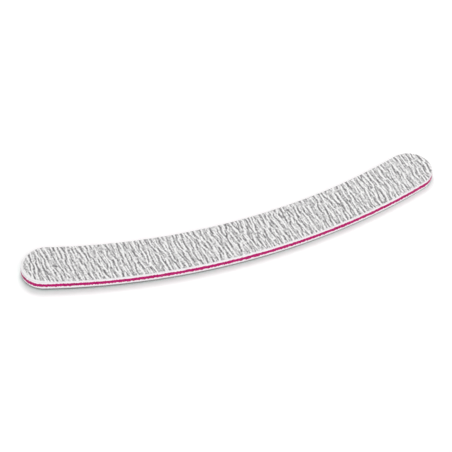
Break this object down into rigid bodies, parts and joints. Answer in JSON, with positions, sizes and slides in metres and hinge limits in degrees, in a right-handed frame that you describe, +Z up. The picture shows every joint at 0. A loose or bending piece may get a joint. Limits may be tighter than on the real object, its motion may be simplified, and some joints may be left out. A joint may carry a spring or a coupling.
{
  "type": "emery board",
  "caption": "Curved foam-padded nail file with round ends: a bright plastic core between soft pads, faced on both sides with streaked grey abrasive paper.",
  "frame": {"origin": "middle of the board's box, on the surface that its lower face lies on", "axes": "+X along the straight line between the tips, +Y towards the hollow side of the bend, +Z up out of the coarse face"},
  "size_m": [0.178, 0.032, 0.004],
  "materials": {
    "core_plastic": "moulded sheet, satin",
    "foam": "closed cell, matt",
    "adhesive": "clear film, satin",
    "backing_paper": "uncoated, matt",
    "coarse_grit": "electrostatic coat, rough",
    "fine_grit": "electrostatic coat, rough"
  },
  "bodies": {
    "root": {"core": "core_plastic", "upper_core_adhesive": "adhesive", "lower_core_adhesive": "adhesive", "upper_foam_pad": "foam", "lower_foam_pad": "foam", "upper_paper_adhesive": "adhesive", "lower_paper_adhesive": "adhesive", "upper_backing_paper": "backing_paper", "lower_backing_paper": "backing_paper", "upper_grit_coat": "coarse_grit", "lower_grit_coat": "fine_grit"}
  },
  "joints": []
}
